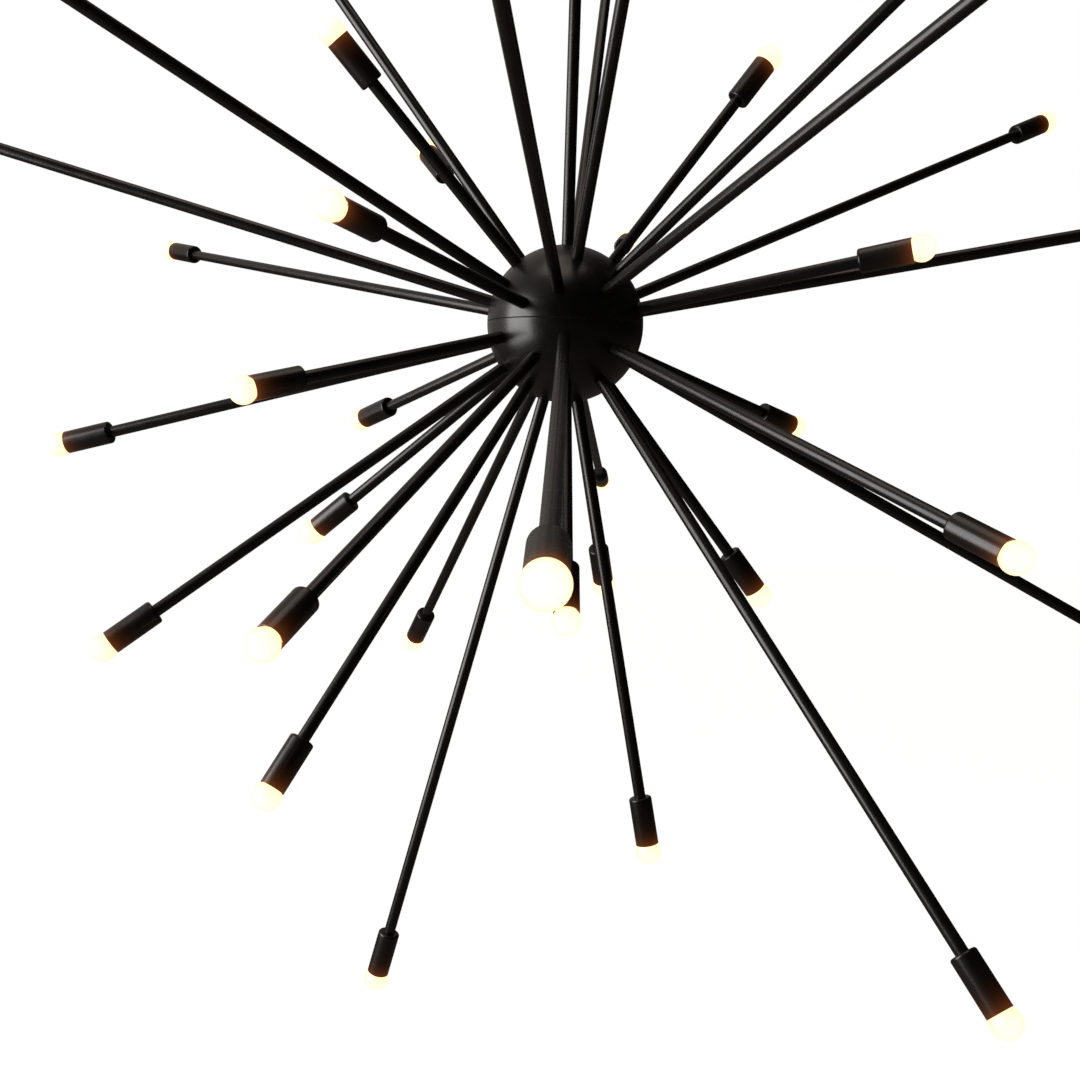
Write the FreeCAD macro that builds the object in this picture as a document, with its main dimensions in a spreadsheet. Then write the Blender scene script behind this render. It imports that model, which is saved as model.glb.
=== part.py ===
import FreeCAD, Part
import os
import Sketcher
from FreeCAD import Placement, Rotation, Vector

# A sputnik chandelier. The origin is on the ceiling, in the middle of the crossbar, and +Z is up.
# The front, which faces the viewer, is -Y. Everything hangs below the origin.

# Driving dimensions, in millimetres. Radii, lengths and clearances, each written once.
SIZES = {
    # clearances
    "thread_gap": 0.05,        # between a threaded pipe and the hole it screws into, on the radius
    "slip_gap": 0.15,          # between a pipe and a plain hole it passes through, on the radius
    # threaded pipe, nuts and washers, the same size all over the lamp
    "pipe_radius": 4.95,
    "wire_bore": 3.2,
    "thread_grip": 12,
    "nut_flats": 14,
    "nut_thickness": 5,
    "nut_overhang": 1.5,       # thread left showing beyond a nut
    "washer_radius": 8,
    "washer_thickness": 1,
    # hub
    "hub_radius": 85,
    "hub_wall": 1.5,
    "hub_lip_height": 4,
    "hub_lip_wall": 1,
    "hub_lip_root": 10,
    "seam_groove": 0.5,
    "splice_radius": 38,
    "cap_nut_radius": 8,
    "cap_nut_height": 9,
    "cap_nut_crown": 3,
    # arms: how far each cup's mouth is from the middle of the hub
    "short_reach": 370,
    "medium_reach": 580,
    "long_reach": 795,
    "arm_radius": 6.35,
    # lamp cup
    "cup_radius": 12.5,
    "cup_length": 53,
    "cup_wall": 1,
    "cup_back": 1.5,
    "cup_shoulder": 2.5,
    # lampholder
    "holder_radius": 10,
    "holder_setback": 7,
    "holder_length": 39,
    "holder_floor": 21,        # depth of the lamp's cavity below the holder's front
    "holder_thread": 7,
    "screw_shell_wall": 0.4,
    "screw_shell_length": 19,
    "contact_radius": 2.5,
    "contact_height": 2,
    # lamp
    "lamp_thread_radius": 5.95,
    "lamp_shell_length": 14,
    "lamp_shell_rim": 0.4,
    "lamp_shell_socket": 3,
    "lamp_tip_radius": 2.2,
    "lamp_tip_length": 0.8,
    "lamp_taper": 2,
    "globe_radius": 13.8,
    "globe_lead": 8.5,         # the globe's centre, beyond the cup's mouth
    "glass_wall": 0.8,
    "neck_radius": 5.45,
    # leads
    "lamp_lead_radius": 1.8,
    "main_lead_radius": 3,
    # stem
    "stem_radius": 6.5,
    "stem_section": 305,
    # hang-straight swivel
    "yoke_radius": 11,
    "yoke_body": 14,
    "yoke_ear_end": 9,
    "pivot_drop": 13,
    "pivot_screw_radius": 2.5,
    "pivot_screw_bite": 2.8,
    "pivot_head_radius": 4,
    "pivot_head_recess": 1.6,
    "knuckle_half_width": 7,
    "knuckle_head": 8,
    "knuckle_neck": 15,
    "knuckle_foot_radius": 9,
    "knuckle_foot": 20,
    # canopy and its collar
    "canopy_radius": 70,
    "canopy_depth": 32,
    "canopy_wall": 1,
    "canopy_corner": 10,
    "collar_radius": 11,
    "collar_height": 10,
    "collar_travel": 6,
    "collar_edge": 1,
    "collar_notch": 0.6,
    "collar_notches": 24,
    "yoke_clearance": 2,       # between the lowered collar and the swivel
    # ceiling crossbar
    "bar_length": 118,
    "bar_width": 18,
    "bar_thickness": 2,
    "bar_drop": 10,
    "bar_web": 44,
    "bar_foot_start": 64,
    "slot_spacing": 88.9,
    "slot_length": 14,
    "slot_radius": 2.3,
    "earth_screw_radius": 2,
    "earth_screw_place": 16,
    "earth_head_radius": 4,
    "earth_head_height": 2.5,
    "earth_screw_tail": 1,     # thread showing above the web
}

# The hub's drilling: where the short, medium and long arms leave it, as (azimuth, elevation) angles
# in degrees, set by eye against the photograph. Azimuth 0 is the front and 90 is the viewer's
# right; elevation counts up from the seam.
ARM_ANGLES_DEG = {
    "short": (
        (163.5, -54.5), (100.5, -51.5), (1.5, -50.5), (-103.5, -39.5), (-135, -16.5),
        (125.5, -15.5), (-55, -13.5), (-33.5, 10), (68.5, 11), (-143, 38), (-65.5, 45.5),
        (103.5, 53.5),
    ),
    "medium": (
        (78.5, -79), (-47.5, -52), (-152.5, -44.5), (-72, -36), (-26, -29), (39, -20.5),
        (-94.5, -14.5), (170, 17.5), (57, 39.5), (10, 50), (-109.5, 52.5), (171, 58),
    ),
    "long": (
        (-110.5, -74.5), (42.5, -47), (85, -28), (-1.25, -14.25), (174, -14), (-132.5, 10),
        (81, 10.5), (-91, 15.5), (31, 20), (-7, 20.5), (119, 23.5), (-56.5, 24.5),
    ),
}

doc = FreeCAD.newDocument("sputnik_chandelier")
sheet = doc.addObject("Spreadsheet::Sheet", "sizes")
for row, (alias, size) in enumerate(SIZES.items(), start=1):
    sheet.set(f"A{row}", alias)
    sheet.set(f"B{row}", str(size))
    sheet.setAlias(f"B{row}", alias)
doc.recompute()

# Places that several pieces share, as formulas in the sheet's sizes. A depth counts down from the
# ceiling, and a height along an arm counts out from the middle of the hub.
THREAD_HOLE = "(sizes.pipe_radius + sizes.thread_gap)"
SLIP_HOLE = "(sizes.pipe_radius + sizes.slip_gap)"
NUT_CORNER = "(sizes.nut_flats / sqrt(3))"
WEB_BOTTOM = "(sizes.bar_drop + sizes.bar_thickness)"
YOKE_TOP = "(sizes.canopy_depth + sizes.collar_height + sizes.collar_travel + sizes.yoke_clearance)"
SLOT_TOP = f"({YOKE_TOP} + sizes.yoke_body)"
PIVOT = f"({SLOT_TOP} + sizes.pivot_drop)"
FOOT_TOP = f"({PIVOT} + sizes.knuckle_neck)"
STEM_TOP = f"({FOOT_TOP} + sizes.knuckle_foot)"
STEM_JOINT = f"({STEM_TOP} + sizes.stem_section)"
STEM_BOTTOM = f"({STEM_JOINT} + sizes.stem_section)"
TUBE_SEAT = f"sqrt(sizes.hub_radius ^ 2 - {THREAD_HOLE} ^ 2)"
WASHER_SEAT = "sqrt((sizes.hub_radius - sizes.hub_wall) ^ 2 - sizes.washer_radius ^ 2)"
NUT_SEAT = f"({WASHER_SEAT} - sizes.washer_thickness)"
STUD_START = f"({NUT_SEAT} - sizes.nut_thickness - sizes.nut_overhang)"
HUB = f"({STEM_BOTTOM} + {TUBE_SEAT})"
SAME_PLACE = 0.001  # how closely an edge is matched when its circle is looked for


def size(formula):
    """The formula's present value in millimetres."""
    return float(sheet.evalExpression(formula))


def bind(piece, **formulas):
    """Ties a piece's properties to the sheet; Placement_Base_z stands for Placement.Base.z."""
    for name, formula in formulas.items():
        piece.setExpression(name.replace("_", "."), formula)
    return piece


def drawn(label, plane_role, outline):
    """A body with a closed sketch whose corners are pairs of formulas."""
    body = doc.addObject("PartDesign::Body", label)
    sketch = body.newObject("Sketcher::SketchObject", f"{label}_outline")
    plane = next(feature for feature in body.Origin.OriginFeatures if feature.Role == plane_role)
    sketch.AttachmentSupport = [(plane, "")]
    sketch.MapMode = "FlatFace"
    corners = [Vector(size(across), size(along), 0) for across, along in outline]
    count = len(corners)
    for index, corner in enumerate(corners):
        sketch.addGeometry(Part.LineSegment(corner, corners[(index + 1) % count]))
    for index in range(count):
        sketch.addConstraint(Sketcher.Constraint("Coincident", index, 2, (index + 1) % count, 1))
    for index, (across, along) in enumerate(outline):
        for kind, formula in (("DistanceX", across), ("DistanceY", along)):
            fixed = sketch.addConstraint(Sketcher.Constraint(kind, -1, 1, index, 1, size(formula)))
            sketch.setExpression(f"Constraints[{fixed}]", formula)
    return body, sketch


def turned(label, *outline):
    """A piece turned on a lathe about Z, from its (radius, height) corners."""
    body, sketch = drawn(label, "XZ_Plane", outline)
    turning = body.newObject("PartDesign::Revolution", f"{label}_turning")
    turning.Profile = sketch
    turning.ReferenceAxis = (sketch, ["V_Axis"])
    turning.Angle = 360
    return body


def ring(label, outer, inner, low, high):
    """A plain pipe, ring or washer about Z."""
    return turned(label, (inner, low), (outer, low), (outer, high), (inner, high))


def rounded(body, radius, *circles):
    """Rounds the body's edges that are circles of these (radius, height) formulas."""
    doc.recompute()
    names = []
    for number, edge in enumerate(body.Shape.Edges, start=1):
        if not isinstance(edge.Curve, Part.Circle):
            continue
        for circle_radius, height in circles:
            same_radius = abs(edge.Curve.Radius - size(circle_radius)) < SAME_PLACE
            if same_radius and abs(edge.Curve.Center.z - size(height)) < SAME_PLACE:
                names.append(f"Edge{number}")
    base = body.Tip
    fillet = body.newObject("PartDesign::Fillet", f"{body.Name}_rounding")
    fillet.Base = (base, names)
    bind(fillet, Radius=radius)
    return body


def cylinder(label, radius, low, length):
    """A solid cylinder about Z that starts at height low."""
    piece = doc.addObject("Part::Cylinder", label)
    return bind(piece, Radius=radius, Height=length, Placement_Base_z=low)


def crosswise(label, radius, start, length, height):
    """A solid cylinder along X, at this height, from x = start."""
    piece = doc.addObject("Part::Cylinder", label)
    piece.Placement = Placement(Vector(), Rotation(Vector(0, 1, 0), 90))
    return bind(piece, Radius=radius, Height=length, Placement_Base_x=start, Placement_Base_z=height)


def box(label, half_x, half_y, low, height):
    """A block centred on the Z axis."""
    piece = doc.addObject("Part::Box", label)
    bind(piece, Length=f"2 * {half_x}", Width=f"2 * {half_y}", Height=height)
    return bind(piece, Placement_Base_x=f"-{half_x}", Placement_Base_y=f"-{half_y}", Placement_Base_z=low)


def ball(label, radius, height="0"):
    """A sphere on the Z axis."""
    return bind(doc.addObject("Part::Sphere", label), Radius=radius, Placement_Base_z=height)


def cut(label, base, tool):
    piece = doc.addObject("Part::Cut", label)
    piece.Base = base
    piece.Tool = tool
    return piece


def fuse(label, *pieces):
    piece = doc.addObject("Part::MultiFuse", label)
    piece.Shapes = list(pieces)
    return piece


def common(label, *pieces):
    piece = doc.addObject("Part::MultiCommon", label)
    piece.Shapes = list(pieces)
    return piece


def group(label, *pieces):
    """Separate solids that share one node."""
    piece = doc.addObject("Part::Compound", label)
    piece.Links = list(pieces)
    return piece


def hex_nut(label, low):
    """A hexagon nut on the threaded pipe, its lower face at height low."""
    blank = doc.addObject("Part::Prism", f"{label}_blank")
    blank.Polygon = 6
    bind(blank, Circumradius=NUT_CORNER, Height="sizes.nut_thickness", Placement_Base_z=low)
    return cut(label, blank, cylinder(f"{label}_thread", THREAD_HOLE, low, "sizes.nut_thickness"))


def hung(piece, depth):
    """Places a piece that is modelled about its own zero at a depth below the ceiling."""
    return bind(piece, Placement_Base_z=f"-{depth}")


# --- Ceiling crossbar: a strap bent like a hat, its feet on the ceiling and its web below ---

foot_end = "(sizes.bar_length / 2)"
foot_start = "(sizes.bar_foot_start / 2)"
web_end = "(sizes.bar_web / 2)"
crossbar_body, crossbar_outline = drawn(
    "crossbar_strap",
    "XZ_Plane",
    [
        (foot_end, "0"),
        (foot_start, "0"),
        (web_end, "-sizes.bar_drop"),
        (f"-{web_end}", "-sizes.bar_drop"),
        (f"-{foot_start}", "0"),
        (f"-{foot_end}", "0"),
        (f"-{foot_end}", "-sizes.bar_thickness"),
        (f"-{foot_start} - sizes.bar_thickness / 2", "-sizes.bar_thickness"),
        (f"-{web_end} - sizes.bar_thickness / 2", f"-{WEB_BOTTOM}"),
        (f"{web_end} + sizes.bar_thickness / 2", f"-{WEB_BOTTOM}"),
        (f"{foot_start} + sizes.bar_thickness / 2", "-sizes.bar_thickness"),
        (foot_end, "-sizes.bar_thickness"),
    ],
)
strap = crossbar_body.newObject("PartDesign::Pad", "crossbar_strap_pad")
strap.Profile = crossbar_outline
strap.Midplane = True
bind(strap, Length="sizes.bar_width")

slots = []
for side in (-1, 1):
    slot_middle = f"({side} * sizes.slot_spacing / 2)"
    straight = "(sizes.slot_length / 2 - sizes.slot_radius)"
    milled = [bind(box(f"slot_flat_{side + 1}", straight, "sizes.slot_radius", "-sizes.bar_thickness",
                       "sizes.bar_thickness"), Placement_Base_x=f"{slot_middle} - {straight}")]
    for end in (-1, 1):
        round_end = cylinder(f"slot_end_{side + 1}_{end + 1}", "sizes.slot_radius",
                             "-sizes.bar_thickness", "sizes.bar_thickness")
        milled.append(bind(round_end, Placement_Base_x=f"{slot_middle} + {end} * {straight}"))
    slots.append(fuse(f"slot_{side + 1}", *milled))
nipple_hole = cylinder("crossbar_nipple_hole", SLIP_HOLE, f"-{WEB_BOTTOM}", "sizes.bar_thickness")
earth_hole = bind(cylinder("crossbar_earth_hole", "(sizes.earth_screw_radius + sizes.thread_gap)",
                           f"-{WEB_BOTTOM}", "sizes.bar_thickness"),
                  Placement_Base_x="sizes.earth_screw_place")
crossbar = cut("crossbar", crossbar_body, group("crossbar_cuts", nipple_hole, earth_hole, *slots))

earth_screw = fuse(
    "earth_screw",
    cylinder("earth_screw_head", "sizes.earth_head_radius", "0", "sizes.earth_head_height"),
    cylinder("earth_screw_shank", "sizes.earth_screw_radius", "0",
             "sizes.earth_head_height + sizes.bar_thickness + sizes.earth_screw_tail"),
)
hung(earth_screw, f"({WEB_BOTTOM} + sizes.earth_head_height)")
bind(earth_screw, Placement_Base_x="sizes.earth_screw_place")

# --- Ceiling nipple: the hollow threaded pipe that carries the whole lamp, locked to the web ---

nipple_top = "(sizes.bar_drop - sizes.nut_thickness - sizes.nut_overhang)"
nipple_bottom = f"({YOKE_TOP} + sizes.thread_grip)"
ceiling_nipple = ring("ceiling_nipple", "sizes.pipe_radius", "sizes.wire_bore",
                      f"-{nipple_bottom}", f"-{nipple_top}")
nipple_washer = hung(ring("nipple_lock_washer", "sizes.washer_radius", SLIP_HOLE, "0",
                          "sizes.washer_thickness"),
                     f"({WEB_BOTTOM} + sizes.washer_thickness)")
upper_locknut = hex_nut("upper_locknut", "-sizes.bar_drop")
lower_locknut = hex_nut("lower_locknut",
                        f"-({WEB_BOTTOM} + sizes.washer_thickness + sizes.nut_thickness)")
nipple_locknuts = group("nipple_locknuts", upper_locknut, lower_locknut)

# --- Canopy: a spun steel cover with a rounded corner, and the knurled collar that holds it up ---

canopy_inside = "(sizes.canopy_radius - sizes.canopy_wall)"
canopy_ceiling = "(sizes.canopy_depth - sizes.canopy_wall)"
canopy = turned(
    "canopy",
    (SLIP_HOLE, "-sizes.canopy_depth"),
    ("sizes.canopy_radius", "-sizes.canopy_depth"),
    ("sizes.canopy_radius", "0"),
    (canopy_inside, "0"),
    (canopy_inside, f"-{canopy_ceiling}"),
    (SLIP_HOLE, f"-{canopy_ceiling}"),
)
rounded(canopy, "sizes.canopy_corner", ("sizes.canopy_radius", "-sizes.canopy_depth"))
rounded(canopy, "sizes.canopy_corner - sizes.canopy_wall", (canopy_inside, f"-{canopy_ceiling}"))

collar_bottom = "(sizes.canopy_depth + sizes.collar_height)"
collar_blank = turned(
    "collar_blank",
    (THREAD_HOLE, f"-{collar_bottom}"),
    ("sizes.collar_radius - sizes.collar_edge", f"-{collar_bottom}"),
    ("sizes.collar_radius", f"-{collar_bottom} + sizes.collar_edge"),
    ("sizes.collar_radius", "-sizes.canopy_depth - sizes.collar_edge"),
    ("sizes.collar_radius - sizes.collar_edge", "-sizes.canopy_depth"),
    (THREAD_HOLE, "-sizes.canopy_depth"),
)
notches = []
for number in range(int(size("sizes.collar_notches"))):
    notch = cylinder(f"collar_notch_{number}", "sizes.collar_notch", f"-{collar_bottom}",
                     "sizes.collar_height")
    turn = f"({number} * 360 / sizes.collar_notches)"
    bind(notch, Placement_Base_x=f"sizes.collar_radius * cos({turn} * 1 deg)",
         Placement_Base_y=f"sizes.collar_radius * sin({turn} * 1 deg)")
    notches.append(notch)
canopy_collar = cut("canopy_collar", collar_blank, group("collar_knurl", *notches))

# --- Hang-straight swivel: a slotted yoke that turns on the nipple, and a knuckle that tilts in it
# on two pivot screws, so that the middle stays open for the lead ---

slot_half_width = "(sizes.knuckle_half_width + sizes.slip_gap)"
yoke_blank = cylinder("yoke_blank", "sizes.yoke_radius", f"-{PIVOT} - sizes.yoke_ear_end",
                      "sizes.yoke_body + sizes.pivot_drop + sizes.yoke_ear_end")
yoke_ends = fuse(
    "yoke_ends",
    crosswise("yoke_round_end", "sizes.yoke_ear_end", "-sizes.yoke_radius", "2 * sizes.yoke_radius",
              f"-{PIVOT}"),
    box("yoke_square_end", "sizes.yoke_radius", "sizes.yoke_radius", f"-{PIVOT}",
        "sizes.yoke_body + sizes.pivot_drop"),
)
yoke_cuts = fuse(
    "yoke_cuts",
    box("yoke_slot", slot_half_width, "sizes.yoke_radius", f"-{PIVOT} - sizes.yoke_ear_end",
        "sizes.pivot_drop + sizes.yoke_ear_end"),
    cylinder("yoke_thread", THREAD_HOLE, f"-{SLOT_TOP}", "sizes.yoke_body"),
    crosswise("yoke_screw_hole", "sizes.pivot_screw_radius + sizes.thread_gap",
              "-sizes.yoke_radius", "2 * sizes.yoke_radius", f"-{PIVOT}"),
    crosswise("yoke_left_recess", "sizes.pivot_head_radius + sizes.slip_gap", "-sizes.yoke_radius",
              "sizes.pivot_head_recess", f"-{PIVOT}"),
    crosswise("yoke_right_recess", "sizes.pivot_head_radius + sizes.slip_gap",
              "sizes.yoke_radius - sizes.pivot_head_recess", "sizes.pivot_head_recess",
              f"-{PIVOT}"),
)
swivel_yoke = cut("swivel_yoke", common("yoke_outside", yoke_blank, yoke_ends), yoke_cuts)

screw_tip = "(sizes.knuckle_half_width - sizes.pivot_screw_bite)"
head_face = "(sizes.yoke_radius - sizes.pivot_head_recess)"
pivot_screws = []
for name, shank_start, head_start in (
    ("left", "-sizes.yoke_radius", "-sizes.yoke_radius"),
    ("right", screw_tip, head_face),
):
    shank = crosswise(f"{name}_pivot_shank", "sizes.pivot_screw_radius", shank_start,
                      f"sizes.yoke_radius - {screw_tip}", f"-{PIVOT}")
    head = crosswise(f"{name}_pivot_head", "sizes.pivot_head_radius", head_start,
                     "sizes.pivot_head_recess", f"-{PIVOT}")
    pivot_screws.append(fuse(f"{name}_pivot_screw", shank, head))
swivel_pivot_screws = group("swivel_pivot_screws", *pivot_screws)

knuckle_outside = fuse(
    "knuckle_outside",
    crosswise("knuckle_head", "sizes.knuckle_head", "-sizes.knuckle_half_width",
              "2 * sizes.knuckle_half_width", f"-{PIVOT}"),
    box("knuckle_neck", "sizes.knuckle_half_width", "sizes.knuckle_head", f"-{FOOT_TOP}",
        "sizes.knuckle_neck"),
    cylinder("knuckle_foot", "sizes.knuckle_foot_radius", f"-{STEM_TOP}", "sizes.knuckle_foot"),
)
knuckle_cuts = fuse(
    "knuckle_cuts",
    cylinder("knuckle_wire_hole", "sizes.wire_bore", f"-{STEM_TOP}",
             "sizes.knuckle_foot + sizes.knuckle_neck + sizes.knuckle_head"),
    cylinder("knuckle_thread", THREAD_HOLE, f"-{STEM_TOP}", "sizes.thread_grip"),
    crosswise("knuckle_left_hole", "sizes.pivot_screw_radius + sizes.thread_gap",
              "-sizes.knuckle_half_width", "sizes.pivot_screw_bite + sizes.slip_gap", f"-{PIVOT}"),
    crosswise("knuckle_right_hole", "sizes.pivot_screw_radius + sizes.thread_gap",
              f"{screw_tip} - sizes.slip_gap", "sizes.pivot_screw_bite + sizes.slip_gap",
              f"-{PIVOT}"),
)
swivel_knuckle = cut("swivel_knuckle", knuckle_outside, knuckle_cuts)

# --- Stem: two threaded tubes joined by hollow nipples, with the main lead inside ---

stem_upper = ring("stem_upper", "sizes.stem_radius", THREAD_HOLE, f"-{STEM_JOINT}", f"-{STEM_TOP}")
stem_lower = ring("stem_lower", "sizes.stem_radius", THREAD_HOLE, f"-{STEM_BOTTOM}",
                  f"-{STEM_JOINT}")
for label, joint in (("stem_nipple", STEM_TOP), ("stem_coupling", STEM_JOINT)):
    ring(label, "sizes.pipe_radius", "sizes.wire_bore", f"-{joint} - sizes.thread_grip",
         f"-{joint} + sizes.thread_grip")
cylinder("main_lead", "sizes.main_lead_radius", f"-{HUB}", f"{HUB} - {FOOT_TOP}")

# --- Hub rod: a hollow threaded rod from the stem to the cap nut, with a window for the leads ---

rod_top = f"({STEM_BOTTOM} - sizes.thread_grip)"
rod_bottom = f"({HUB} + {TUBE_SEAT} + sizes.cap_nut_height - sizes.cap_nut_crown)"
rod_pipe = ring("hub_rod_pipe", "sizes.pipe_radius", "sizes.wire_bore", f"-{rod_bottom}",
                f"-{rod_top}")
rod_window = hung(box("hub_rod_window", "sizes.pipe_radius", "sizes.wire_bore", "0",
                      "2 * sizes.wire_bore"), f"({HUB} + sizes.wire_bore)")
bind(rod_window, Placement_Base_x="0")
cut("hub_rod", rod_pipe, rod_window)
hung(ring("hub_rod_washer", "sizes.washer_radius", SLIP_HOLE, NUT_SEAT, WASHER_SEAT), HUB)
hex_nut("hub_rod_nut", f"-{HUB} + {NUT_SEAT} - sizes.nut_thickness")

splice_ball = ball("splice_ball", "sizes.splice_radius", f"-{HUB}")
splice_passage = cylinder("splice_passage", THREAD_HOLE, f"-{HUB} - sizes.splice_radius",
                          "2 * sizes.splice_radius")
cut("splice_bundle", splice_ball, splice_passage)

cap_nut_top = f"({HUB} + {TUBE_SEAT})"
cap_nut_blank = turned(
    "cap_nut_blank",
    ("0", f"-{cap_nut_top} - sizes.cap_nut_height"),
    ("sizes.cap_nut_radius - sizes.cap_nut_crown", f"-{cap_nut_top} - sizes.cap_nut_height"),
    ("sizes.cap_nut_radius", f"-{cap_nut_top} - sizes.cap_nut_height + sizes.cap_nut_crown"),
    ("sizes.cap_nut_radius", f"-{cap_nut_top}"),
    ("0", f"-{cap_nut_top}"),
)
cap_nut_thread = cylinder("cap_nut_thread", THREAD_HOLE, f"-{rod_bottom}",
                          "sizes.cap_nut_height - sizes.cap_nut_crown")
cut("hub_cap_nut", cap_nut_blank, cap_nut_thread)

# --- Arms: every piece is modelled once per length about an upright arm, with the middle of the hub
# at zero, and then copied into each drilled direction ---


def direction(azimuth, elevation):
    """The turn that lays an upright arm along its azimuth and elevation."""
    return Rotation(Vector(0, 0, 1), azimuth - 90) * Rotation(Vector(0, 1, 0), 90 - elevation)


def arm_copies(piece, holes):
    """The piece once in each hole's direction, about the middle of the hub."""
    copies = []
    for azimuth, elevation in holes:
        copy = doc.addObject("App::Link", f"{piece.Name}_copy")
        copy.LinkedObject = piece
        copy.LinkTransform = True
        copy.Placement = Placement(Vector(), direction(azimuth, elevation))
        copies.append(bind(copy, Placement_Base_z=f"-{HUB}"))
    return copies


def lamp_cup(label, mouth):
    """A drawn cup: closed back with a rounded shoulder, a hole for the nipple, a plain mouth."""
    back = f"({mouth} - sizes.cup_length)"
    bore = "(sizes.cup_radius - sizes.cup_wall)"
    cup = turned(
        label,
        (SLIP_HOLE, back),
        ("sizes.cup_radius", back),
        ("sizes.cup_radius", mouth),
        (bore, mouth),
        (bore, f"{back} + sizes.cup_back"),
        (SLIP_HOLE, f"{back} + sizes.cup_back"),
    )
    return rounded(cup, "sizes.cup_shoulder", ("sizes.cup_radius", back))


def lampholder(label, mouth):
    """A moulded holder: a threaded back with a hole for the lead, and a deep front cavity."""
    front = f"({mouth} - sizes.holder_setback)"
    back = f"({front} - sizes.holder_length)"
    floor = f"({front} - sizes.holder_floor)"
    bore = "(sizes.lamp_thread_radius + sizes.screw_shell_wall + 2 * sizes.thread_gap)"
    return turned(
        label,
        (THREAD_HOLE, back),
        ("sizes.holder_radius", back),
        ("sizes.holder_radius", front),
        (bore, front),
        (bore, floor),
        ("0", floor),
        ("0", f"{back} + sizes.holder_thread"),
        (THREAD_HOLE, f"{back} + sizes.holder_thread"),
    )


def lamp_base(label, mouth):
    """The lamp's screw shell with a socket for the glass neck, tapering to its tip contact."""
    tip = f"({mouth} - sizes.holder_setback - sizes.holder_floor + sizes.contact_height)"
    taper_start = f"({tip} + sizes.lamp_tip_length + sizes.lamp_taper)"
    rim = f"({taper_start} + sizes.lamp_shell_length)"
    socket = "(sizes.lamp_thread_radius - sizes.lamp_shell_rim)"
    return turned(
        label,
        ("0", tip),
        ("sizes.lamp_tip_radius", tip),
        ("sizes.lamp_tip_radius", f"{tip} + sizes.lamp_tip_length"),
        ("sizes.lamp_thread_radius", taper_start),
        ("sizes.lamp_thread_radius", rim),
        (socket, rim),
        (socket, f"{rim} - sizes.lamp_shell_socket"),
        ("0", f"{rim} - sizes.lamp_shell_socket"),
    )


def lamp_globe(label, mouth):
    """A blown glass globe, hollow, with its open neck in the lamp's base."""
    tip = f"({mouth} - sizes.holder_setback - sizes.holder_floor + sizes.contact_height)"
    neck_end = (f"({tip} + sizes.lamp_tip_length + sizes.lamp_taper + sizes.lamp_shell_length"
                " - sizes.lamp_shell_socket)")
    middle = f"({mouth} + sizes.globe_lead)"
    outside = fuse(
        f"{label}_outside",
        ball(f"{label}_sphere", "sizes.globe_radius", middle),
        cylinder(f"{label}_neck", "sizes.neck_radius", neck_end, f"{middle} - {neck_end}"),
    )
    inside = fuse(
        f"{label}_inside",
        ball(f"{label}_hollow", "sizes.globe_radius - sizes.glass_wall", middle),
        cylinder(f"{label}_neck_bore", "sizes.neck_radius - sizes.glass_wall", neck_end,
                 f"{middle} - {neck_end}"),
    )
    return cut(label, outside, inside)


drills = []
for length, holes in ARM_ANGLES_DEG.items():
    mouth = f"sizes.{length}_reach"
    cup_back = f"({mouth} - sizes.cup_length)"
    holder_front = f"({mouth} - sizes.holder_setback)"
    holder_back = f"({holder_front} - sizes.holder_length)"
    holder_floor = f"({holder_front} - sizes.holder_floor)"
    shell_bore = "(sizes.lamp_thread_radius + sizes.thread_gap)"

    arm_pieces = {
        "arm_tubes": [ring(f"{length}_tube", "sizes.arm_radius", THREAD_HOLE, TUBE_SEAT, cup_back)],
        "arm_studs": [ring(f"{length}_stud", "sizes.pipe_radius", "sizes.wire_bore", STUD_START,
                           f"{TUBE_SEAT} + sizes.thread_grip")],
        "arm_washers": [ring(f"{length}_washer", "sizes.washer_radius", SLIP_HOLE, NUT_SEAT,
                             WASHER_SEAT)],
        "arm_nuts": [hex_nut(f"{length}_hub_nut", f"{NUT_SEAT} - sizes.nut_thickness"),
                     hex_nut(f"{length}_cup_nut", f"{cup_back} + sizes.cup_back")],
        "arm_cups": [lamp_cup(f"{length}_cup", mouth)],
        "cup_nipples": [ring(f"{length}_cup_nipple", "sizes.pipe_radius", "sizes.wire_bore",
                             f"{cup_back} - sizes.thread_grip",
                             f"{holder_back} + sizes.holder_thread - sizes.washer_thickness")],
        "lampholders": [lampholder(f"{length}_holder", mouth)],
        "screw_shells": [ring(f"{length}_screw_shell", f"{shell_bore} + sizes.screw_shell_wall",
                              shell_bore, holder_floor,
                              f"{holder_floor} + sizes.screw_shell_length")],
        "centre_contacts": [cylinder(f"{length}_contact", "sizes.contact_radius", holder_floor,
                                     "sizes.contact_height")],
        "lamp_bases": [lamp_base(f"{length}_lamp_base", mouth)],
        "lamp_globes": [lamp_globe(f"{length}_globe", mouth)],
        "lamp_leads": [cylinder(f"{length}_lead", "sizes.lamp_lead_radius", "sizes.splice_radius",
                                f"{holder_back} + sizes.holder_thread - sizes.splice_radius")],
    }
    for name, pieces in arm_pieces.items():
        copies = [copy for piece in pieces for copy in arm_copies(piece, holes)]
        group(f"{length}_{name}", *copies)

    drill_start = "(sizes.hub_radius - sizes.washer_radius)"
    for azimuth, elevation in holes:
        level = f"{drill_start} * cos({elevation} * 1 deg)"
        drill = doc.addObject("Part::Cylinder", f"{length}_drill")
        drill.Placement = Placement(Vector(), direction(azimuth, elevation))
        bind(drill, Radius=SLIP_HOLE, Height="2 * sizes.washer_radius",
             Placement_Base_x=f"{level} * sin({azimuth} * 1 deg)",
             Placement_Base_y=f"-{level} * cos({azimuth} * 1 deg)",
             Placement_Base_z=f"{drill_start} * sin({elevation} * 1 deg) - {HUB}")
        drills.append(drill)

# --- Hub: two drilled hemispheres, the lower one with a lip that centres the upper one ---


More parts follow.
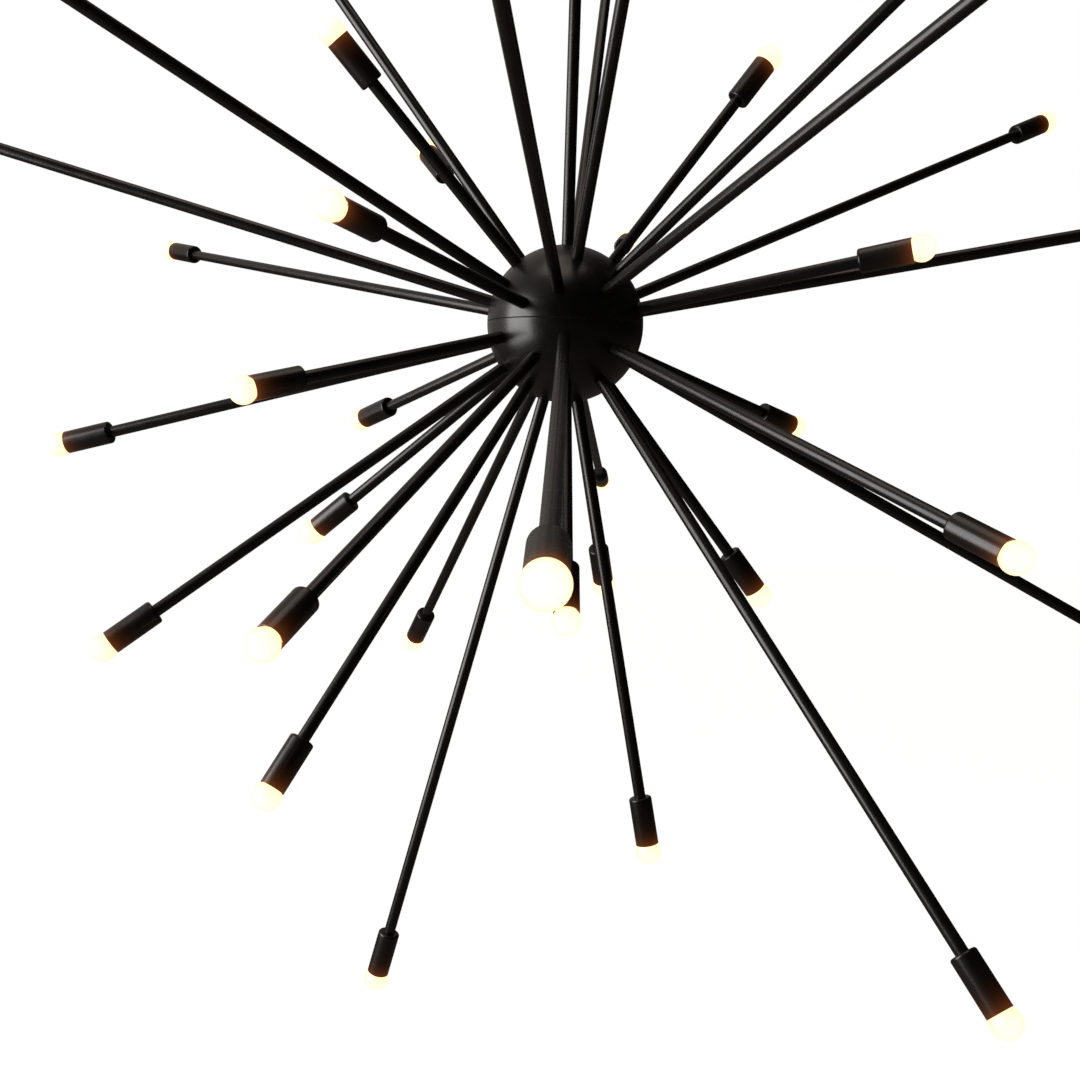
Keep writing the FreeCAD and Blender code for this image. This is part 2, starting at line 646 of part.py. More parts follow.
def hemisphere(label, low_angle, high_angle):
    """Half of the hub's shell."""
    shell = []
    for surface, radius in (("outside", "sizes.hub_radius"),
                            ("inside", "sizes.hub_radius - sizes.hub_wall")):
        half = ball(f"{label}_{surface}", radius, f"-{HUB}")
        half.Angle1 = low_angle
        half.Angle2 = high_angle
        shell.append(half)
    return cut(f"{label}_shell", *shell)


groove = bind(doc.addObject("Part::Torus", "seam_groove"), Radius1="sizes.hub_radius",
              Radius2="sizes.seam_groove", Placement_Base_z=f"-{HUB}")
poles = cylinder("hub_poles", SLIP_HOLE, f"-{HUB} - 2 * sizes.hub_radius", "4 * sizes.hub_radius")
drilling = group("hub_drilling", *drills)
lip_radius = "(sizes.hub_radius - sizes.hub_wall - 2 * sizes.slip_gap)"
lip = hung(ring("hub_lip", lip_radius, f"{lip_radius} - sizes.hub_lip_wall",
                "-sizes.hub_lip_root", "sizes.hub_lip_height"), HUB)
for name, shell in (("hub_upper", hemisphere("upper", 0, 90)),
                    ("hub_lower", fuse("lower_lipped", hemisphere("lower", -90, 0), lip))):
    bored = cut(f"{name}_bored", shell, poles)
    grooved = cut(f"{name}_grooved", bored, groove)
    cut(name, grooved, drilling)

# --- Check and write every node ---

NODES = [
    "crossbar", "earth_screw", "ceiling_nipple", "nipple_lock_washer", "nipple_locknuts",
    "canopy", "canopy_collar", "swivel_yoke", "swivel_pivot_screws", "swivel_knuckle",
    "stem_nipple", "stem_upper", "stem_coupling", "stem_lower", "main_lead",
    "hub_rod", "hub_rod_washer", "hub_rod_nut", "hub_cap_nut", "splice_bundle",
    "hub_upper", "hub_lower",
]
for length in ARM_ANGLES_DEG:
    NODES += [f"{length}_{name}" for name in arm_pieces]

doc.recompute()
for piece in doc.Objects:
    if "Invalid" in piece.State or "Error" in piece.State:
        raise RuntimeError(f"{piece.Label} did not build: {piece.State}")

os.makedirs("parts", exist_ok=True)
for name in NODES:
    shape = doc.getObject(name).Shape
    if shape.isNull() or not shape.isValid() or not shape.Solids:
        raise RuntimeError(f"{name} has no valid solid")
    shape.exportStep(f"parts/{name}.step")
print(f"{len(NODES)} nodes, hub {size(HUB):.2f} mm below the ceiling")
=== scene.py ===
import math

import bmesh
import bpy
import numpy as np
from mathutils import Matrix, Vector


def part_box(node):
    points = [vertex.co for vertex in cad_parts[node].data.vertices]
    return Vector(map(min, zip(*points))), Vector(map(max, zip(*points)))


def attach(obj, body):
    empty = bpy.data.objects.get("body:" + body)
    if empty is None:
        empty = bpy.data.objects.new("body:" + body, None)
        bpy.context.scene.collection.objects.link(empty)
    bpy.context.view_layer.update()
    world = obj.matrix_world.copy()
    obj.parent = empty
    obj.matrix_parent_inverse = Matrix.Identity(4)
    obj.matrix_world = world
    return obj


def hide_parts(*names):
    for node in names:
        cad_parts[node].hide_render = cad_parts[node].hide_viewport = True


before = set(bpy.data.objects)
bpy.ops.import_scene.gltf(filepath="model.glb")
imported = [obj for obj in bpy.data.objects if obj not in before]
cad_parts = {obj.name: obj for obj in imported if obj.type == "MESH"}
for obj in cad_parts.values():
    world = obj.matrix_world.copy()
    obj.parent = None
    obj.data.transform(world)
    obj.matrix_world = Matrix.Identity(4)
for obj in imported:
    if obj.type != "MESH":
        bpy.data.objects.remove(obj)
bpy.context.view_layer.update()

# A sputnik chandelier, in metres. The origin is on the ceiling and the viewer is on the -Y side.
# The sections follow the lamp as it is hung and wired, from the ceiling down to the glass globes.

# ---------------------------------------------------------------------------------------------
# The ceiling crossbar, nipple, lock nuts and washer are zinc-plated steel, pressed and cut from
# stock, and stay as the frame has them. The plating is dull, with a fine drawn grain.
# ---------------------------------------------------------------------------------------------


def fresh_material(name):
    """An empty procedural material: its node tree, its surface shader and its object coordinates."""
    material = bpy.data.materials.new(name)
    material.use_nodes = True
    tree = material.node_tree
    shader = tree.nodes["Principled BSDF"]
    place = tree.nodes.new("ShaderNodeTexCoord").outputs["Object"]
    return material, tree, shader, place


def cloudy(tree, place, per_metre, detail=3.0, stretch=(1, 1, 1)):
    """Soft noise with this many swells in a metre, drawn out along an axis by a small stretch."""
    mapping = tree.nodes.new("ShaderNodeMapping")
    mapping.inputs["Scale"].default_value = [per_metre * s for s in stretch]
    noise = tree.nodes.new("ShaderNodeTexNoise")
    noise.inputs["Scale"].default_value = 1.0
    noise.inputs["Detail"].default_value = detail
    tree.links.new(place, mapping.inputs["Vector"])
    tree.links.new(mapping.outputs["Vector"], noise.inputs["Vector"])
    return noise.outputs["Fac"]


def between(tree, factor, low, high, span=(0.3, 0.7)):
    """A value that runs from low to high as the factor crosses a span, here the noise's usual one."""
    ramp = tree.nodes.new("ShaderNodeMapRange")
    for name, value in zip(("From Min", "From Max", "To Min", "To Max"), (*span, low, high)):
        ramp.inputs[name].default_value = value
    tree.links.new(factor, ramp.inputs["Value"])
    return ramp.outputs["Result"]


def two_tone(tree, factor, first, second):
    """A colour that runs from the first to the second as the factor runs from 0 to 1."""
    mix = tree.nodes.new("ShaderNodeMix")
    mix.data_type = "RGBA"
    mix.inputs["A"].default_value = (*first, 1)
    mix.inputs["B"].default_value = (*second, 1)
    tree.links.new(factor, mix.inputs["Factor"])
    return mix.outputs["Result"]


def relief(tree, shader, factor, depth):
    """Raises the surface by depth, in metres, where the factor is 1."""
    bump = tree.nodes.new("ShaderNodeBump")
    bump.inputs["Distance"].default_value = depth
    tree.links.new(factor, bump.inputs["Height"])
    tree.links.new(bump.outputs["Normal"], shader.inputs["Normal"])


drawn, turned_finish = (1, 1, 0.08), (1, 1, 1)


def plated_metal(name, light, dark, gloss, grain=drawn):
    """Bare or plated metal, drawn or turned: light and dark tones and a (low, high) roughness."""
    material, tree, shader, place = fresh_material(name)
    shader.inputs["Metallic"].default_value = 1.0
    streaks = cloudy(tree, place, 2600, detail=4.0, stretch=grain)
    tarnish = cloudy(tree, place, 120)
    tone = between(tree, tarnish, 0.0, 1.0)
    tree.links.new(two_tone(tree, tone, light, dark), shader.inputs["Base Color"])
    tree.links.new(between(tree, streaks, *gloss), shader.inputs["Roughness"])
    relief(tree, shader, streaks, depth=0.00002)
    return material


def dress(material, slot, *nodes):
    """Puts a material on nodes that the frame already has in the right shape."""
    for node in nodes:
        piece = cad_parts[node]
        piece.data.materials.clear()
        piece.data.materials.append(material)


lengths = ("short", "medium", "long")
zinc = plated_metal("zinc_plated_steel", (0.60, 0.61, 0.62), (0.42, 0.43, 0.45), (0.28, 0.46))
dress(zinc, "zinc_steel", "crossbar", "ceiling_nipple", "nipple_lock_washer", "nipple_locknuts",
      "stem_nipple", "stem_coupling", "hub_rod", "hub_rod_washer",
      *[f"{length}_{piece}" for length in lengths
        for piece in ("arm_studs", "arm_washers", "cup_nipples")])

# The earth screw is green, so that an electrician finds it. Its paint is glossy over steel.

earth_green, tree, shader, place = fresh_material("green_lacquer")
worn = between(tree, cloudy(tree, place, 700), 0.0, 1.0)
tree.links.new(two_tone(tree, worn, (0.03, 0.27, 0.09), (0.05, 0.34, 0.13)),
               shader.inputs["Base Color"])
tree.links.new(between(tree, cloudy(tree, place, 1500), 0.2, 0.34), shader.inputs["Roughness"])
dress(earth_green, "earth_green", "earth_screw")

# ---------------------------------------------------------------------------------------------
# The canopy is spun from 1 mm steel sheet: a shallow pan with a rolled corner and a cut rim. It is
# sprayed satin black like every other visible metal piece, with a faint orange-peel surface.
# ---------------------------------------------------------------------------------------------


def combined(tree, operation, first, second):
    """Joins two values by a Math operation, such as MULTIPLY. Each is a socket or a plain number."""
    node = tree.nodes.new("ShaderNodeMath")
    node.operation = operation
    for socket, value in zip(node.inputs, (first, second)):
        if isinstance(value, float):
            socket.default_value = value
        else:
            tree.links.new(value, socket)
    return node.outputs["Value"]


def satin_black(name, peel=0.000004):
    """Sprayed satin black: near-black, a shade browner in patches, with a fine peel and a trace of
    dust on the faces that look up. It gives the material, its node tree and its shader."""
    material, tree, shader, place = fresh_material(name)
    patches = between(tree, cloudy(tree, place, 22), 0.0, 1.0)
    paint = two_tone(tree, patches, (0.0012, 0.0011, 0.0011), (0.0030, 0.0023, 0.0018))
    up = tree.nodes.new("ShaderNodeSeparateXYZ")
    tree.links.new(tree.nodes.new("ShaderNodeNewGeometry").outputs["Normal"], up.inputs["Vector"])
    settled = between(tree, up.outputs["Z"], -0.01, 0.03)
    specks = between(tree, cloudy(tree, place, 260, detail=6.0), 0.2, 1.0)
    dusted = tree.nodes.new("ShaderNodeMix")
    dusted.data_type = "RGBA"
    dusted.clamp_factor = True
    dusted.inputs["B"].default_value = (0.10, 0.09, 0.08, 1)
    tree.links.new(combined(tree, "MULTIPLY", settled, specks), dusted.inputs["Factor"])
    tree.links.new(paint, dusted.inputs["A"])
    tree.links.new(dusted.outputs["Result"], shader.inputs["Base Color"])
    sheen = between(tree, cloudy(tree, place, 60, detail=2.0), 0.25, 0.32)
    tree.links.new(sheen, shader.inputs["Roughness"])
    shader.inputs["Specular IOR Level"].default_value = 0.42
    relief(tree, shader, cloudy(tree, place, 850, detail=2.0), peel)
    return material, tree, shader


guard_share, guard_most = 0.35, 0.0004


def rolled(corners, bends, steps=6):
    """A closed outline with its corners bent to arcs. Each corner is given up for an arc that is
    tangent to both its sides; a bend is the arc's radius, and 0 keeps the corner sharp. A guard
    point is left on each side of an arc, so that the flats stay flat when shaded."""
    corners = np.asarray(corners, float)
    outline = []
    for here, before, after, bend in zip(corners, np.roll(corners, 1, 0), np.roll(corners, -1, 0),
                                         bends):
        if bend == 0:
            outline.append(here[None])
            continue
        back = (before - here) / np.linalg.norm(before - here)
        on = (after - here) / np.linalg.norm(after - here)
        half = 0.5 * math.acos(np.clip(back @ on, -1, 1))
        run = bend / math.tan(half)
        middle = here + (back + on) / np.linalg.norm(back + on) * bend / math.sin(half)
        first, last = here + back * run - middle, here + on * run - middle
        sweep = math.pi - 2 * half
        t = np.linspace(0, 1, steps + 1)[:, None]
        arc = middle + (np.sin((1 - t) * sweep) * first + np.sin(t * sweep) * last) / math.sin(sweep)
        guard = min(guard_share * bend, guard_most)
        outline.append(np.vstack([arc[0] + back * guard, arc, arc[-1] + on * guard]))
    return np.vstack(outline)


merge_distance, crease = 2e-6, math.radians(40)


def skin(name, points, material, body, replaced):
    """Makes a piece from a (copies, rows, columns, 3) array of points, and puts it on a body in the
    place of the nodes replaced. Rows and columns close on themselves. A triangle's signed volume is
    a . (b x d) / 6, and the faces are turned so that these add up to more than 0."""
    copies, rows, columns = points.shape[:3]
    r, c = np.meshgrid(np.arange(rows), np.arange(columns), indexing="ij")
    r2, c2 = (r + 1) % rows, (c + 1) % columns
    quads = np.stack([r * columns + c, r * columns + c2, r2 * columns + c2, r2 * columns + c], -1)
    flat = points[0].reshape(-1, 3)
    a, b, d = (flat[quads[..., k].ravel()] - flat.mean(0) for k in (0, 1, 2))
    if np.einsum("ij,ij->", a, np.cross(b, d)) < 0:
        quads = quads[..., ::-1]
    quads = quads.reshape(-1, 4)
    shift = (np.arange(copies) * rows * columns)[:, None, None]
    mesh = bpy.data.meshes.new(name)
    mesh.from_pydata(points.reshape(-1, 3).tolist(), [], (quads + shift).reshape(-1, 4).tolist())
    bm = bmesh.new()
    bm.from_mesh(mesh)
    bmesh.ops.remove_doubles(bm, verts=bm.verts, dist=merge_distance)
    bm.to_mesh(mesh)
    bm.free()
    mesh.shade_smooth()
    mesh.set_sharp_from_angle(angle=crease)
    piece = bpy.data.objects.new(name, mesh)
    bpy.context.scene.collection.objects.link(piece)
    mesh.materials.append(material)
    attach(piece, body)
    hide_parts(*replaced)
    return piece


def turned(outline, columns=96):
    """Carries an outline of (radius, height) round the Z axis: x = r cos t, y = r sin t, z = h."""
    t = np.linspace(0, 2 * math.pi, columns, endpoint=False)
    r, h = outline[:, 0, None], outline[:, 1, None]
    return np.stack([r * np.cos(t), r * np.sin(t), h + 0 * t], -1)[None]


canopy_paint = satin_black("satin_black_canopy")[0]
canopy_radius, canopy_depth, sheet = 0.070, 0.032, 0.001
canopy_corner, cut_rim, deburred = 0.010, 0.0004, 0.0003
pipe_hole = 0.0051
canopy_outline = rolled(
    [(pipe_hole, -canopy_depth), (canopy_radius, -canopy_depth), (canopy_radius, 0),
     (canopy_radius - sheet, 0), (canopy_radius - sheet, sheet - canopy_depth),
     (pipe_hole, sheet - canopy_depth)],
    [deburred, canopy_corner, cut_rim, cut_rim, canopy_corner - sheet, deburred], steps=12)
skin("canopy_pan", turned(canopy_outline, columns=160), canopy_paint, "canopy",
     ["canopy"])

# ---------------------------------------------------------------------------------------------
# The canopy collar is a turned steel ring on the nipple's thread. Its edges are chamfered and its
# grip is cut with 24 round flutes. Each is part of a circle centred on the ring's outside, so at a
# distance s along the ring from its middle it is sqrt(flute_radius^2 - s^2) deep.
# ---------------------------------------------------------------------------------------------

collar_radius, collar_height, thread_bore = 0.011, 0.010, 0.005
collar_edge, broken_edge = 0.001, 0.0002
flute_radius, flutes, flute_columns, flute_floor = 0.0006, 24, 16, 0.0098
fitting_paint = satin_black("satin_black_fittings", peel=0.000003)[0]
collar_outline = rolled(
    [(thread_bore, -canopy_depth - collar_height),
     (collar_radius - collar_edge, -canopy_depth - collar_height),
     (collar_radius, -canopy_depth - collar_height + collar_edge),
     (collar_radius, -canopy_depth - collar_edge),
     (collar_radius - collar_edge, -canopy_depth),
     (thread_bore, -canopy_depth)],
    [broken_edge] * 6, steps=3)
collar = turned(collar_outline, flutes * flute_columns)
across = np.linalg.norm(collar[..., :2], axis=-1)
turn = np.arctan2(collar[..., 1], collar[..., 0]) * flutes / (2 * math.pi)
from_flute = np.abs(turn - np.round(turn)) * 2 * math.pi / flutes * collar_radius
cut = collar_radius - np.sqrt(np.clip(flute_radius ** 2 - from_flute ** 2, 0, None))
fluted = np.where(across > flute_floor, np.minimum(across, cut), across)
collar[..., :2] *= (fluted / across)[..., None]
skin("canopy_collar_ring", collar, fitting_paint, "collar", ["canopy_collar"])

# ---------------------------------------------------------------------------------------------
# The hang-straight swivel is milled from solid steel: a slotted yoke on the nipple, a knuckle in
# it, and two shouldered pivot screws. All of it is sprayed black and stays as the frame has it.
# ---------------------------------------------------------------------------------------------

dress(fitting_paint, "black_paint", "swivel_yoke", "swivel_knuckle")
pivot_black = plated_metal("blackened_screws", (0.035, 0.035, 0.037), (0.02, 0.02, 0.021),
                           (0.25, 0.4), turned_finish)
dress(pivot_black, "black_screws", "swivel_pivot_screws")

# ---------------------------------------------------------------------------------------------
# The stem is two lengths of 13 mm steel tube, cut square and deburred, screwed end to end on a
# hidden coupling, so only a hairline shows where they meet.
# ---------------------------------------------------------------------------------------------

stem_paint = satin_black("satin_black_stem", peel=0.000001)[0]
stem_radius = 0.0065
for section in ("stem_upper", "stem_lower"):
    low, high = (corner.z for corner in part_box(section))
    stem_outline = rolled([(thread_bore, low), (stem_radius, low), (stem_radius, high),
                           (thread_bore, high)], [deburred] * 4, steps=4)
    skin(f"{section}_tube", turned(stem_outline, columns=64), stem_paint,
         "fixture", [section])

# ---------------------------------------------------------------------------------------------
# The hub is two pressed steel hemispheres, drilled for 36 arms and drawn together by a rod. Their
# edges are rolled slightly, which leaves the fine dark seam round the middle.
# ---------------------------------------------------------------------------------------------

hub_paint = satin_black("satin_black_hub")[0]
hub_radius, hub_wall, seam_roll = 0.085, 0.0015, 0.0008
hub_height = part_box("hub_upper")[0].z


def half_shell(side, rows=72, roll_rows=8, columns=192):
    """Half of a hollow sphere: an arc of the outer radius from the pole's hole to the seam, a
    small quarter circle in to the seam's plane, and an arc of the inner radius back."""
    inner = hub_radius - hub_wall
    pole = math.asin(pipe_hole / hub_radius)
    foot = math.asin(seam_roll / hub_radius)
    out = np.linspace(pole, math.pi / 2 - foot, rows)
    roll = np.linspace(0, math.pi / 2, roll_rows)[1:]
    back = np.linspace(math.pi / 2, math.asin(pipe_hole / inner), rows)
    outline = np.vstack([
        np.stack([hub_radius * np.sin(out), hub_radius * np.cos(out)], -1),
        np.stack([hub_radius - seam_roll + seam_roll * np.cos(roll), seam_roll * (1 - np.sin(roll))],
                 -1),
        np.stack([inner * np.sin(back), inner * np.cos(back)], -1)])
    return turned(outline * (1, side) + (0, hub_height), columns)


skin("hub_upper_shell", half_shell(1), hub_paint, "fixture", ["hub_upper"])
skin("hub_lower_shell", half_shell(-1), hub_paint, "fixture", ["hub_lower"])

# The cap nut closes the hub's rod from below. It is a domed turned nut, painted with the hub.

cap_low, cap_high = (corner.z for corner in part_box("hub_cap_nut"))
cap_radius, cap_crown, cap_bend, axis_gap = 0.008, 0.003, 0.002, 0.00001
cap_outline = rolled([(axis_gap, cap_low), (cap_radius - cap_crown, cap_low),
                      (cap_radius, cap_low + cap_crown), (cap_radius, cap_high),
                      (axis_gap, cap_high)], [0, cap_bend, cap_bend, broken_edge, 0], steps=8)
cap_outline[[0, -1], 0] = 0
skin("hub_cap", turned(cap_outline, columns=64), fitting_paint, "fixture",
     ["hub_cap_nut"])

# ---------------------------------------------------------------------------------------------
# Inside the hub the leads of all the arms are spliced and wrapped in cotton tape. Brass nuts hold
# the arms. None of it shows from outside, and all of it stays as the frame has it.
# ---------------------------------------------------------------------------------------------

brass = plated_metal("turned_brass", (0.80, 0.60, 0.27), (0.62, 0.43, 0.17), (0.22, 0.38),
                     turned_finish)
dress(brass, "brass_parts", "hub_rod_nut",
      *[f"{length}_{piece}" for length in lengths
        for piece in ("arm_nuts", "screw_shells", "centre_contacts")])

cotton, tree, shader, place = fresh_material("cotton_tape")
wraps = tree.nodes.new("ShaderNodeTexWave")
wraps.bands_direction = "Z"
wraps.inputs["Scale"].default_value = 60
wraps.inputs["Distortion"].default_value = 3
tree.links.new(place, wraps.inputs["Vector"])
tree.links.new(two_tone(tree, wraps.outputs["Fac"], (0.62, 0.57, 0.46), (0.78, 0.74, 0.63)),
               shader.inputs["Base Color"])
shader.inputs["Roughness"].default_value = 0.9
relief(tree, shader, wraps.outputs["Fac"], depth=0.0004)
dress(cotton, "splice_wrap", "splice_bundle")

sleeve, tree, shader, place = fresh_material("lead_sleeve")
weave = tree.nodes.new("ShaderNodeTexWave")
weave.inputs["Scale"].default_value = 700
weave.inputs["Distortion"].default_value = 1.5
tree.links.new(place, weave.inputs["Vector"])
tree.links.new(two_tone(tree, weave.outputs["Fac"], (0.70, 0.68, 0.62), (0.82, 0.80, 0.74)),
               shader.inputs["Base Color"])
shader.inputs["Roughness"].default_value = 0.6
relief(tree, shader, weave.outputs["Fac"], depth=0.0001)
dress(sleeve, "lead_sleeve", "main_lead", *[f"{length}_lamp_leads" for length in lengths])

# ---------------------------------------------------------------------------------------------
# The arms are 12.7 mm straight steel tubes in three lengths, 12 of each, screwed into the hub. The
# drilling list gives each one's azimuth from the viewer, to the right, and its elevation.
# ---------------------------------------------------------------------------------------------

drilling = {
    "short": [(163.5, -54.5), (100.5, -51.5), (1.5, -50.5), (-103.5, -39.5), (-135, -16.5),
              (125.5, -15.5), (-55, -13.5), (-33.5, 10), (68.5, 11), (-143, 38), (-65.5, 45.5),
              (103.5, 53.5)],
    "medium": [(78.5, -79), (-47.5, -52), (-152.5, -44.5), (-72, -36), (-26, -29), (39, -20.5),
               (-94.5, -14.5), (170, 17.5), (57, 39.5), (10, 50), (-109.5, 52.5), (171, 58)],
    "long": [(-110.5, -74.5), (42.5, -47), (85, -28), (-1.25, -14.25), (174, -14), (-132.5, 10),
             (81, 10.5), (-91, 15.5), (31, 20), (-7, 20.5), (119, 23.5), (-56.5, 24.5)],
}
reach = {"short": 0.370, "medium": 0.580, "long": 0.795}
arm_radius, cup_length = 0.00635, 0.053
arm_paint = satin_black("satin_black_arms", peel=0.000001)[0]


def on_arms(length, outline, columns):
    """Carries an outline of (radius, distance from the hub's middle) round every arm of a length:
    the point is hub + d * along + r * (cos t * side + sin t * over), with the three directions
    worked out from the arm's azimuth and elevation."""
    azimuth, elevation = np.radians(drilling[length]).T
    along = np.stack([np.cos(elevation) * np.sin(azimuth), -np.cos(elevation) * np.cos(azimuth),
                      np.sin(elevation)], -1)
    side = np.stack([np.cos(azimuth), np.sin(azimuth), 0 * azimuth], -1)
    over = np.cross(along, side)
    t = np.linspace(0, 2 * math.pi, columns, endpoint=False)
    ring = np.cos(t)[:, None] * side[:, None, None] + np.sin(t)[:, None] * over[:, None, None]
    r, d = outline[:, 0, None, None], outline[:, 1, None, None]
    return r * ring + d * along[:, None, None] + (0, 0, hub_height)


tube_start = math.sqrt(hub_radius ** 2 - thread_bore ** 2)
for length in lengths:
    tube_end = reach[length] - cup_length
    tube_outline = rolled([(thread_bore, tube_start), (arm_radius, tube_start),
                           (arm_radius, tube_end), (thread_bore, tube_end)], [broken_edge] * 4,
                          steps=3)
    skin(f"{length}_arms", on_arms(length, tube_outline, columns=40), arm_paint,
         "fixture", [f"{length}_arm_tubes"])

# ---------------------------------------------------------------------------------------------
# Each arm ends in a drawn steel cup, closed at the back with a rounded shoulder and open in front,
# sprayed black inside and out. The lit globe is wider than the cup, and its warm light on the outside
# is painted light: a glow in the cup's paint, exp(-distance from the mouth / the fade length), which
# is gone a third of the way down.
# ---------------------------------------------------------------------------------------------


def mark(piece, layer, values):
    """Keeps one number for each point of a piece, for its material to read."""
    piece.data.attributes.new(layer, "FLOAT", "POINT").data.foreach_set(
        "value", values.astype(np.float32))


def from_hub(piece):
    """How far each point of a piece is from the middle of the hub."""
    points = np.empty(len(piece.data.vertices) * 3)
    piece.data.vertices.foreach_get("co", points)
    return np.linalg.norm(points.reshape(-1, 3) - (0, 0, hub_height), axis=1)


cup_paint, tree, shader = satin_black("satin_black_cups", peel=0.0000012)
# Painted light: an emission in the cups' paint that stands in for the globes' warm light on them.
painted_glow = tree.nodes.new("ShaderNodeAttribute")
painted_glow.attribute_name = "painted_lamp_glow"
tree.links.new(two_tone(tree, painted_glow.outputs["Fac"], (0, 0, 0), (0.11, 0.028, 0.006)),
               shader.inputs["Emission Color"])
shader.inputs["Emission Strength"].default_value = 1.0
cup_radius, cup_wall, cup_back = 0.0125, 0.001, 0.0015
cup_shoulder, cup_corner = 0.0025, 0.0015
painted_glow_fade, wall_rows = 0.007, 12
for length in lengths:
    mouth, back = reach[length], reach[length] - cup_length
    wall = np.linspace(back + 2 * cup_shoulder, mouth - cup_wall, wall_rows)
    bore = cup_radius - cup_wall
    cup_outline = rolled(
        [(pipe_hole, back), (cup_radius, back), *[(cup_radius, d) for d in wall],
         (cup_radius, mouth), (bore, mouth), *[(bore, d) for d in wall[::-1]],
         (bore, back + cup_back), (pipe_hole, back + cup_back)],
        [broken_edge, cup_shoulder, *[0] * wall_rows, cut_rim, cut_rim, *[0] * wall_rows,
         cup_corner, broken_edge])
    cups = skin(f"{length}_cups", on_arms(length, cup_outline, columns=64), cup_paint,
                "fixture", [f"{length}_arm_cups"])
    # Where the globe's light is painted on the cup: 1 at the mouth, fading back along the cup.
    mark(cups, "painted_lamp_glow", np.exp((np.minimum(from_hub(cups), mouth) - mouth) / painted_glow_fade))

# ---------------------------------------------------------------------------------------------
# The lampholders are glazed ceramic with brass threads, deep in the cups, and the lamps' screw
# bases are nickel-plated. They stay as the frame has them.
# ---------------------------------------------------------------------------------------------

glaze, tree, shader, place = fresh_material("glazed_ceramic")
specks = between(tree, cloudy(tree, place, 900, detail=5.0), 0.0, 1.0)
tree.links.new(two_tone(tree, specks, (0.84, 0.82, 0.77), (0.76, 0.73, 0.67)),
               shader.inputs["Base Color"])
tree.links.new(between(tree, cloudy(tree, place, 200), 0.15, 0.3), shader.inputs["Roughness"])
dress(glaze, "holder_ceramic", *[f"{length}_lampholders" for length in lengths])
nickel = plated_metal("lamp_base_nickel", (0.72, 0.70, 0.67), (0.60, 0.58, 0.55), (0.18, 0.32),
                      turned_finish)
dress(nickel, "lamp_cap_nickel", *[f"{length}_lamp_bases" for length in lengths])

# ---------------------------------------------------------------------------------------------
# The lamps are blown globes of frosted opal glass with an open neck cemented into the base. They
# are lit: white through the crown of the glass, and a warmer cream towards the cup.
# ---------------------------------------------------------------------------------------------

globe_radius, globe_lead, glass = 0.0138, 0.0085, 0.0008
neck_radius, neck_depth, neck_fillet = 0.00545, 0.012, 0.003
ball_rows, fillet_rows = 40, 8


def globe_outline(mouth, inset):
    """A sphere drawn down into a straight neck: the arc of the sphere from its crown to where the
    fillet meets it, the fillet's own arc, and the neck. inset makes the inner wall."""
    radius, neck, bend = globe_radius - inset, neck_radius - inset, neck_fillet + inset
    centre = mouth + globe_lead
    fillet_r = neck + bend
    fillet_d = centre - math.sqrt((radius + bend) ** 2 - fillet_r ** 2)
    meet = math.atan2(fillet_r, fillet_d - centre)
    ball = np.linspace(0, meet, ball_rows)
    sweep = np.linspace(meet, math.pi / 2, fillet_rows)[1:]
    neck_end = np.array([[neck, mouth - neck_depth]])
    return np.vstack([
        np.stack([radius * np.sin(ball), centre + radius * np.cos(ball)], -1),
        np.stack([fillet_r - bend * np.sin(sweep), fillet_d - bend * np.cos(sweep)], -1),
        neck_end])


opal, tree, shader, place = fresh_material("frosted_opal_glass")
shader.inputs["Base Color"].default_value = (0.25, 0.18, 0.10, 1)
shader.inputs["IOR"].default_value = 1.5
crown = tree.nodes.new("ShaderNodeAttribute")
crown.attribute_name = "towards_crown"
glow = two_tone(tree, crown.outputs["Fac"], (1.0, 0.72, 0.46), (1.0, 0.86, 0.67))
tree.links.new(glow, shader.inputs["Emission Color"])
shader.inputs["Emission Strength"].default_value = 1.9
shader.inputs["Coat Weight"].default_value = 1.0
shader.inputs["Coat Roughness"].default_value = 0.25
shader.inputs["Coat Tint"].default_value = (1.0, 0.97, 0.80, 1)
frost = cloudy(tree, place, 1800, detail=4.0)
tree.links.new(between(tree, frost, 0.3, 0.45), shader.inputs["Roughness"])
relief(tree, shader, frost, depth=0.00003)
for length in lengths:
    outer, inner = globe_outline(reach[length], 0), globe_outline(reach[length], glass)
    globe_wall = np.vstack([outer, inner[::-1]])
    globes = skin(f"{length}_globes", on_arms(length, globe_wall, columns=56), opal,
                  "fixture", [f"{length}_lamp_globes"])
    mark(globes, "towards_crown",
         np.clip((from_hub(globes) - reach[length]) / (globe_lead + globe_radius), 0, 1))

# ---------------------------------------------------------------------------------------------
# The studio: a white sweep, a tall soft window at the left and a warm soft light above. The room
# reflects dimly at the front and the right, as the paint shows. The floor looks pale, throws little
# light back up, keeps the shadow, and is clear from below.
# ---------------------------------------------------------------------------------------------

floor_height, span = -2.4, 14.0
floor_mesh = bpy.data.meshes.new("studio_floor")
floor_mesh.from_pydata([(-span, -span, floor_height), (span, -span, floor_height),
                        (span, span, floor_height), (-span, span, floor_height)], [],
                       [(0, 1, 2, 3)])
floor = bpy.data.objects.new("studio_floor", floor_mesh)
bpy.context.scene.collection.objects.link(floor)
pale, tree, shader, _ = fresh_material("pale_floor")
floor_whiteness = 0.95
shader.inputs["Base Color"].default_value = (0.13, 0.112, 0.10, 1)
shader.inputs["Roughness"].default_value = 0.8
shader.inputs["Emission Color"].default_value = (1, 1, 1, 1)
ray = tree.nodes.new("ShaderNodeLightPath").outputs
tree.links.new(combined(tree, "MULTIPLY", ray["Is Camera Ray"], floor_whiteness),
               shader.inputs["Emission Strength"])
clear = tree.nodes.new("ShaderNodeBsdfTransparent")
one_way = tree.nodes.new("ShaderNodeMixShader")
